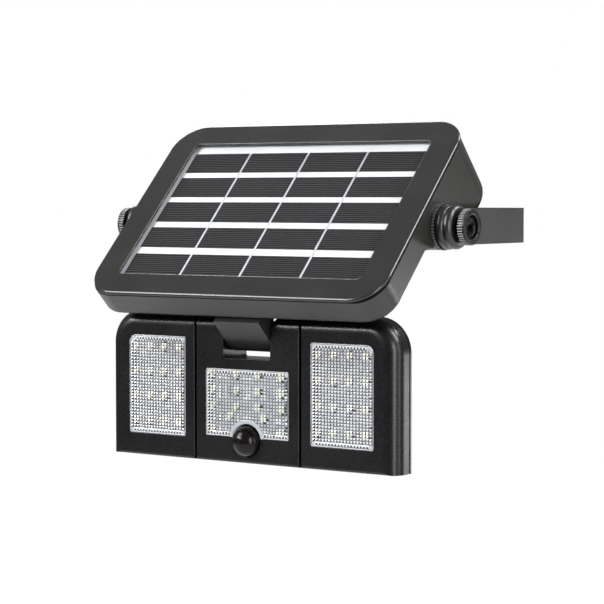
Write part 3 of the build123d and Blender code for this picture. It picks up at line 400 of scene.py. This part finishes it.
# Material: the CAD nodes that wear it
CAD_LOOKS = {
    "bracket_steel": "wall_bracket",
    "collar_black": "pivot_collar_left pivot_collar_right",
    "nylon_washer": "friction_washers",
    "bezel_black": "front_bezel",
    "housing_black": "rear_housing battery_cover hinge_arm",
    "seal_rubber": "panel_gasket",
    "screw_steel": "bezel_screws battery_cover_screws hinge_arm_screws centre_screws"
                   " left_cover_screws right_cover_screws",
    "panel_cover": "solar_cover",
    "backsheet_white": "solar_backsheet",
    "silicon_cells": "solar_cells",
    "busbar_silver": "solar_busbars",
    "battery_sleeve": "battery_cell",
    "inner_plastic": "battery_holder",
    "spring_plate": "battery_contacts",
    "circuit_board": "charge_board pir_board",
    "component_black": "board_components tact_switch",
    "button_rubber": "mode_button",
    "wire_sleeve": "battery_leads",
    "insert_brass": "knob_inserts",
    "knob_black": "knob_left knob_right",
    "cap_black_oxide": "knob_screw_left knob_screw_right",
    "lamp_black": "centre_front_shell centre_rear_shell left_front_shell left_rear_cover"
                  " right_front_shell right_rear_cover",
    "pin_steel": "tilt_pin wing_hinge_pins",
    "diffuser_clear": "centre_diffuser left_diffuser right_diffuser",
    "led_board_white": "centre_led_board left_led_board right_led_board",
    "led_package": "centre_leds left_leds right_leds",
    "dome_smoke": "pir_dome",
    "sensor_can": "pir_sensor",
}
for look, names in CAD_LOOKS.items():
    for name in names.split():
        node = nodes[name]
        if not node.material_slots:
            node.data.materials.append(MATERIALS[look])
        for slot in node.material_slots:
            slot.material = MATERIALS[look]


# ------------------------------------------------------------------ mesh help
def add_object(bm, name, materials=(), smooth=False):
    mesh = bpy.data.meshes.new(name)
    bm.to_mesh(mesh)
    bm.free()
    if smooth:
        for polygon in mesh.polygons:
            polygon.use_smooth = True
    obj = bpy.data.objects.new(name, mesh)
    bpy.context.scene.collection.objects.link(obj)
    for material in materials:
        mesh.materials.append(MATERIALS[material])
    return obj


def add_part(bm, name, body, materials, smooth=False):
    """Object that rides on a body of the frame."""
    bmesh.ops.recalc_face_normals(bm, faces=bm.faces)
    obj = add_object(bm, name, materials, smooth)
    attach(obj, body)
    return obj


def bridge(bm, rows, material_index=0):
    """Join closed rows of vertices with quads."""
    for row, following in zip(rows, rows[1:]):
        for k in range(len(row)):
            k2 = (k + 1) % len(row)
            face = bm.faces.new((row[k], row[k2], following[k2], following[k]))
            face.material_index = material_index


# ------------------------------------------------------------------ window outlines
def arc(centre_x, centre_z, radius, start, end, steps):
    angles = [math.radians(start + (end - start) * i / steps) for i in range(steps + 1)]
    return [(centre_x + radius * math.cos(a), centre_z + radius * math.sin(a)) for a in angles]


def wing_outline(inset):
    """Right wing window, anticlockwise from the front, with its big corner at top right."""
    x0, x1 = 41.08 + inset, 79.92 - inset
    z0, z1 = -114.52 + inset, -60.38 - inset
    big, small = 4.5 - inset, 0.95 - inset
    return (arc(x0 + small, z0 + small, small, 180, 270, 4)
            + arc(x1 - small, z0 + small, small, 270, 360, 4)
            + arc(x1 - big, z1 - big, big, 0, 90, 10)
            + arc(x0 + small, z1 - small, small, 90, 180, 4))


def centre_outline(inset):
    """Centre window, with an arch over the dome in its bottom edge."""
    half_width, bottom = 27.22 - inset, -112.92 + inset
    arch, corner = 9.3 + inset, 0.9 - inset
    corner_x, corner_z = 26.32, -77.48
    foot = math.degrees(math.asin((bottom - DOME_Z) / arch))
    return ([(-half_width, bottom)]
            + arc(0, DOME_Z, arch, 180 - foot, foot, 28)
            + [(half_width, bottom)]
            + arc(corner_x, corner_z, corner, 0, 90, 4)
            + arc(-corner_x, corner_z, corner, 90, 180, 4))


def inside(point, outline):
    x, z = point
    result = False
    for i in range(len(outline)):
        (x1, z1), (x2, z2) = outline[i], outline[i - 1]
        if (z1 > z) != (z2 > z) and x < (x2 - x1) * (z - z1) / (z2 - z1) + x1:
            result = not result
    return result


def edge_distance(point, outline):
    best = 1e9
    x, z = point
    for i in range(len(outline)):
        (x1, z1), (x2, z2) = outline[i], outline[i - 1]
        dx, dz = x2 - x1, z2 - z1
        square = dx * dx + dz * dz
        along = max(0, min(1, ((x - x1) * dx + (z - z1) * dz) / square)) if square else 0
        best = min(best, math.hypot(x - x1 - along * dx, z - z1 - along * dz))
    return best


# ------------------------------------------------------------------ facet tones: painted light and shade
# Colour casts, multiplied by a grey level
RIM_CAST = (0.93, 0.955, 1.0)
LED_CAST = (1.0, 0.985, 0.86)
END_CAST = (0.95, 0.97, 1.0)
FIELD_CAST = (0.93, 0.96, 1.0)
BACK_TONE = (0.90, 0.92, 0.94, 0.5)  # back and sides of the plate, with alpha
RIM_ALPHA, PRISM_ALPHA = 1.0, 0.66  # share of light scattered
# Painted shade on the four sides of each prism, lightest on top and darkest at the bottom
PAINTED_SIDE_SHADE = {"top": 0.42, "left": 0.27, "right": 0.19, "bottom": 0.10}
CORE_HALF = 0.27  # facets nearer the middle than this share of the pitch are the core


def cast(level, colour):
    return tuple(level * part for part in colour)


def scatter(i, j, k=0):
    """Repeatable 0..1 value for a facet."""
    v = math.sin(i * 12.9898 + j * 78.233 + k * 37.719) * 43758.5453
    return v - math.floor(v)


def rim_tone(x, z, box, rim):
    """Tone of the border, painted light and shade: painted shade along the right and top, a painted
    highlight along the left and bottom, and the darkest painted shade between the lines.
    """
    _, right, _, top = box
    shaded = RIM_INNER + 0.1
    if rim < RIM_INNER:
        level = 0.36 if right - x < shaded or top - z < shaded else 0.80
    else:
        level = 0.04 if rim < RIM_OUTER else 0.42
    return cast(level, RIM_CAST)


def prism_tone(x, z, cell, pitch, box, leds):
    """Tone of a facet, painted light and shade from its place in the prism, the LEDs behind and the
    frame beside it.
    """
    left, right, bottom, top = box
    i, j, cell_x, cell_z = cell
    dx, dz = (x - cell_x) / pitch[0], (z - cell_z) / pitch[1]
    core = max(abs(dx), abs(dz)) < CORE_HALF
    if abs(dx) > abs(dz):
        side = "right" if dx > 0 else "left"
    else:
        side = "top" if dz > 0 else "bottom"
    near, led_x, led_z = min((math.hypot(cell_x - a, cell_z - b), cell_x - a, cell_z - b)
                             for a, b in leds)

    # Painted image of the lit package, broken by painted dark facets at its right and bottom
    if -1.9 < led_x < 2.0 and -1.6 < led_z < 1.65:
        right_part = led_x > 0.6
        if core:
            level = 0.40 if right_part and led_z < 0.4 else 1.0
        else:
            low = 0.0 if led_z > 0 or right_part else 0.60
            level = {"top": 0.92, "left": 0.70, "right": 0.0, "bottom": low}[side]
        return cast(level, LED_CAST)

    # First row of prisms along the top and the bottom: painted dark reflections on the cores and
    # bottom sides, painted light on the rest
    if min(top - cell_z, cell_z - bottom) < 2.1:
        return cast(0.0 if core or side == "bottom" else 0.90, END_CAST)

    # Open field, each facet a little different: painted shade by side and a painted highlight on the
    # core
    if core:
        level = 0.84 - 0.10 * scatter(i, j, 1)
    else:
        level = PAINTED_SIDE_SHADE[side] + 0.12 * (scatter(i, j) - 0.5)
    # Painted light and dark reflections give high contrast at the left edge, fading out 8 mm from it
    edge = max(0.0, min(1.0, 1.6 - (cell_x - left) / 5.0))
    if edge > 0:
        level = level * (1 - edge) + edge * (0.98 if side in ("left", "top") else 0.0)
    # Painted dark facets (painted shade) right of an LED and, more thinly, along the right edge
    if near < 2.7 and led_x > 0.3 and scatter(i, j, 3) < 0.75:
        level = 0.02 if core or side in ("left", "bottom") else level
    elif (right - cell_x < 3.4 and scatter(i, j, 5) < 0.30
          and (core or side in ("bottom", "right"))):
        level = 0.03
    # Painted shade: the wings, whose windows lie off the middle, are dimmer.
    level *= 0.73 if abs(left + right) > 30 else 1.0
    return cast(level, FIELD_CAST)


# ------------------------------------------------------------------ prismatic lenses
def point_key(point):
    return round(point[0], 4), round(point[1], 4)


def plan_lens(outline_at, origin, pitch):
    """Flat plan of a lens: points, edges, outline loop, lift by point key, centre by cell."""
    outline = outline_at(0)
    points, edges = [], []
    index, lifts, cells = {}, {}, {}

    def add_point(point, lift=None):
        key = point_key(point)
        if key not in index:
            index[key] = len(points)
            points.append(Vector((point[0], point[1])))
        if lift is not None:
            lifts[key] = lift
        return index[key]

    def add_loop(loop_points, lift=None):
        ids = [add_point(p, lift) for p in loop_points]
        edges.extend(zip(ids, ids[1:] + ids[:1]))
        return ids

    loop = add_loop(outline)
    add_loop(outline_at(RIM_INNER), RIM_LIFT)
    add_loop(outline_at(RIM_OUTER))

    (x0, z0), (px, pz) = origin, pitch
    xs, zs = [p[0] for p in outline], [p[1] for p in outline]
    for i in range(int((min(xs) - x0) / px) - 2, int((max(xs) - x0) / px) + 2):
        for j in range(int((min(zs) - z0) / pz) - 2, int((max(zs) - z0) / pz) + 2):
            a, b = x0 + i * px, z0 + j * pz
            corners = [(a, b), (a + px, b), (a + px, b + pz), (a, b + pz)]
            if not all(inside(c, outline) and edge_distance(c, outline) > FIELD_MARGIN
                       for c in corners):
                continue
            mx, mz = a + px / 2, b + pz / 2
            cells[(i, j)] = (mx, mz)
            base = add_loop(corners)
            halfway = [(mx + (c[0] - mx) * 0.5, mz + (c[1] - mz) * 0.5) for c in corners]
            step = add_loop(halfway, PRISM_HEIGHT * PRISM_STEP)
            peak = add_point((mx, mz), PRISM_HEIGHT)
            edges.extend(zip(base, step))
            edges.extend((s, peak) for s in step)
    edges = sorted(set(tuple(sorted(e)) for e in edges))
    return points, edges, loop, lifts, cells


def prism_lens(name, body, leds, outline_at, origin, pitch, sign):
    """Closed plate whose front is a field of two-step pyramids inside a raised border.

    sign -1 mirrors the plan in x.
    """
    points, edges, loop, lifts, cells = plan_lens(outline_at, origin, pitch)
    points, _, triangles, *_ = delaunay_2d_cdt(points, edges, [loop], 1, 1e-5)
    outline = outline_at(0)
    xs, zs = [sign * p[0] for p in outline], [p[1] for p in outline]
    box = (min(xs), max(xs), min(zs), max(zs))
    bm = bmesh.new()
    layer = bm.loops.layers.float_color.new("facet")

    def add_face(corners, colour):
        for corner in bm.faces.new(corners).loops:
            corner[layer] = colour

    front, back = [], []
    for p in points:
        lift = lifts.get(point_key(p), 0.0)
        x, z = sign * p[0] * MM, p[1] * MM
        front.append(bm.verts.new((x, (LENS_FRONT_Y - lift) * MM, z)))
        back.append(bm.verts.new((x, LENS_BACK_Y * MM, z)))
    for ids in triangles:
        x = sum(points[i][0] for i in ids) / len(ids)
        z = sum(points[i][1] for i in ids) / len(ids)
        key = (math.floor((x - origin[0]) / pitch[0]), math.floor((z - origin[1]) / pitch[1]))
        if key in cells:
            cell = (*key, sign * cells[key][0], cells[key][1])
            colour = (*prism_tone(sign * x, z, cell, pitch, box, leds), PRISM_ALPHA)
        else:
            rim = edge_distance((x, z), outline)
            colour = (*rim_tone(sign * x, z, box, rim), RIM_ALPHA)
        add_face([front[i] for i in ids], colour)
        add_face([back[i] for i in reversed(ids)], BACK_TONE)

    # Side walls between the open edges of the front and the back
    front_index = {v: i for i, v in enumerate(front)}
    for edge in [e for e in bm.edges if len(e.link_faces) == 1]:
        a, b = edge.verts
        if a in front_index and b in front_index:
            add_face((a, b, back[front_index[b]], back[front_index[a]]), BACK_TONE)
    loose = [v for v in bm.verts if not v.link_faces]
    bmesh.ops.delete(bm, geom=loose, context="VERTS")
    return add_part(bm, name, body, ["diffuser_prisms"])


def arch_band():
    """Band over the dome: part of a ring with a softly rounded front."""
    r0, r1, c = ARCH_INNER, ARCH_OUTER, ARCH_ROUNDING
    y0, y1 = LENS_FRONT_Y - 0.62, LENS_FRONT_Y + 0.02
    section = [  # radius, y
        (r0, y1), (r0, y0 + c), (r0 + c * 0.3, y0 + c * 0.3), (r0 + c, y0),
        (r1 - c, y0), (r1 - c * 0.3, y0 + c * 0.3), (r1, y0 + c), (r1, y1),
    ]
    foot = math.asin((ARCH_FOOT_Z - DOME_Z) / r1)
    bm = bmesh.new()
    rows = []
    for i in range(ARCH_STEPS + 1):
        a = foot + (math.pi - 2 * foot) * i / ARCH_STEPS
        rows.append([bm.verts.new((r * math.cos(a) * MM, y * MM, (DOME_Z + r * math.sin(a)) * MM))
                     for r, y in section])
    bridge(bm, rows)
    bm.faces.new(rows[0])
    bm.faces.new(list(reversed(rows[-1])))
    add_part(bm, "sensor_arch_band", "lamp_centre", ["diffuser_rim"],
             smooth=True)


# ------------------------------------------------------------------ LEDs
def led_field(name, spots, body):
    """LED packages: a bevelled white tub with a yellow phosphor lens."""
    square = [(-LED_HALF, -LED_HALF), (LED_HALF, -LED_HALF),
              (LED_HALF, LED_HALF), (-LED_HALF, LED_HALF)]
    turns = [2 * math.pi * k / PHOSPHOR_SIDES for k in range(PHOSPHOR_SIDES)]
    circle = [(math.cos(a), math.sin(a)) for a in turns]
    h = LED_HEIGHT
    # scale of the shape, y from the board
    tub_rows = [(1.0, 0.0), (1.0, -h * 0.8), (0.9, -h)]
    lens_rows = [(1.12, -h - 0.005), (1.0, -h - 0.07), (0.6, -h - 0.13)]
    bm = bmesh.new()

    def add_rows(shape, stations, x, z):
        return [[bm.verts.new(((x + a * s) * MM, (BOARD_FRONT_Y + y) * MM, (z + b * s) * MM))
                 for a, b in shape] for s, y in stations]

    for x, z in spots:
        tub = add_rows(square, tub_rows, x, z)
        bm.faces.new(tub[0])
        bridge(bm, tub)
        bm.faces.new(list(reversed(tub[2])))
        lens = add_rows(circle, lens_rows, x, z)
        bridge(bm, lens, material_index=1)
        for cap in (lens[2], list(reversed(lens[0]))):
            bm.faces.new(cap).material_index = 1
    return add_part(bm, name, body, ["led_package", "led_phosphor"])


# ------------------------------------------------------------------ lamps
RIGHT_LEDS = [(x, z) for x in (44.9, 55.3, 65.7, 76.1) for z in (-66.2, -80.0, -93.9, -107.7)]
LEFT_LEDS = [(-x, z) for x, z in RIGHT_LEDS]
CENTRE_LEDS = [(x, z) for z in (-79.8, -88.4, -96.6) for x in (-23.0, -7.6, 7.6, 23.0)]
CENTRE_LEDS += [(-11.4, -102.3), (11.4, -102.3), (-23.0, -108.8), (23.0, -108.8)]

WING_LENS = dict(outline_at=wing_outline, origin=(41.88, -113.72), pitch=(1.96, 1.6948))
CENTRE_LENS = dict(outline_at=centre_outline, origin=(-26.42, -112.12), pitch=(1.957, 1.737))
# lamp, body, LED places, lens plan, sign of x
LAMPS = [
    ("right", "right_wing", RIGHT_LEDS, WING_LENS, 1.0),
    ("left", "left_wing", LEFT_LEDS, WING_LENS, -1.0),
    ("centre", "lamp_centre", CENTRE_LEDS, CENTRE_LENS, 1.0),
]
for lamp, body, leds, plan, sign in LAMPS:
    lens = prism_lens(lamp + "_prism_lens", body, leds, sign=sign, **plan)
    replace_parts(lens, lamp + "_diffuser")
arch_band()
for lamp, body, leds, _, _ in LAMPS:
    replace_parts(led_field(lamp + "_led_packages", leds, body), lamp + "_leds")


# ------------------------------------------------------------------ stage, in metres
def floor_material():
    """Near-white to the camera, dull to other rays and darker far out, clear from below."""
    t = new_material("studio_floor")
    f = t.noise(scale=3.0)
    distance = t.put("ShaderNodeVectorMath", {0: t.coord}, operation="LENGTH").outputs["Value"]
    far = t.ramp(distance, start=0.55, end=1.4)
    pale = t.mix_colour(f, (0.64, 0.64, 0.64), (0.69, 0.69, 0.69))
    dull = t.shader("BsdfDiffuse", Color=t.mix_colour(far, pale, (0.07, 0.07, 0.07)))
    glow = t.shader("Emission", Color=(1, 1, 1), Strength=1.08)
    seen = t.mix_shader(t.times(t.camera_ray(), 0.93), dull, glow)
    t.done(t.mix_shader(t.backfacing(), seen, t.shader("BsdfTransparent")))


bm = bmesh.new()
bmesh.ops.create_grid(bm, x_segments=8, y_segments=8, size=6.0)
floor_material()
floor = add_object(bm, "studio_floor", ["studio_floor"])
floor.location = (0, 0, -0.32)


def studio_world():
    """White to the camera; a soft grey that brightens upwards for the lighting."""
    world = bpy.data.worlds.new("studio")
    bpy.context.scene.world = world
    t = Tree(world, "ShaderNodeOutputWorld", "Generated")
    white = t.shader("Background", Color=(1, 1, 1), Strength=1.0)
    strength = t.ramp(t.xyz()["Z"], start=-0.2, end=1.0, low=0.17, high=0.40)
    sky = t.shader("Background", Color=(1, 1, 1), Strength=strength)
    t.done(t.mix_shader(t.camera_ray(), sky, white))


studio_world()

LIGHT_TARGET = Vector((0, -0.09, -0.03))
# name, place, width and height, power in watts
SOFTBOXES = [
    ("high_right_box", (0.94, 0.07, 0.86), (0.34, 0.62), 13.0),
    ("high_left_box", (-0.84, -0.93, 0.86), (0.66, 0.56), 14.5),
    ("low_left_strip", (-0.78, -1.12, 0.46), (0.84, 0.17), 15.0),
    ("back_left_box", (-0.73, 0.55, 0.76), (0.50, 0.40), 9.0),
    ("side_box", (1.30, -0.06, -0.02), (0.36, 1.10), 5.0),
    ("front_right_box", (1.14, -0.84, 0.12), (0.34, 0.96), 11.0),
    ("back_right_strip", (0.76, 0.99, -0.225), (0.56, 0.16), 2.0),
    ("top_back_box", (0.56, 0.64, 0.84), (0.30, 0.30), 7.0),
]
for name, place, size, power in SOFTBOXES:
    light = bpy.data.lights.new(name, "AREA")
    light.shape = "RECTANGLE"
    light.size, light.size_y = size
    light.energy = power
    box = bpy.data.objects.new(name, light)
    box.location = place
    box.rotation_mode = "QUATERNION"
    box.rotation_quaternion = (LIGHT_TARGET - Vector(place)).to_track_quat("-Z", "Y")
    bpy.context.scene.collection.objects.link(box)

# ------------------------------------------------------------------ camera
CAMERA_DIP, CAMERA_TURN = 2.93, 34.14  # degrees below level, and to the left of +Y

scene = bpy.context.scene
camera_data = bpy.data.cameras.new("camera")
camera_data.lens = 123.80
camera_data.sensor_width = 36.0
camera_data.clip_start, camera_data.clip_end = 0.05, 50.0
camera = bpy.data.objects.new("camera", camera_data)
camera.location = (0.64469, -1.02149, 0.01626)
camera.rotation_euler = (math.radians(90 - CAMERA_DIP), 0, math.radians(CAMERA_TURN))
scene.collection.objects.link(camera)
scene.camera = camera
scene.view_settings.view_transform = "Standard"
scene.view_settings.look = "None"

bpy.context.view_layer.update()
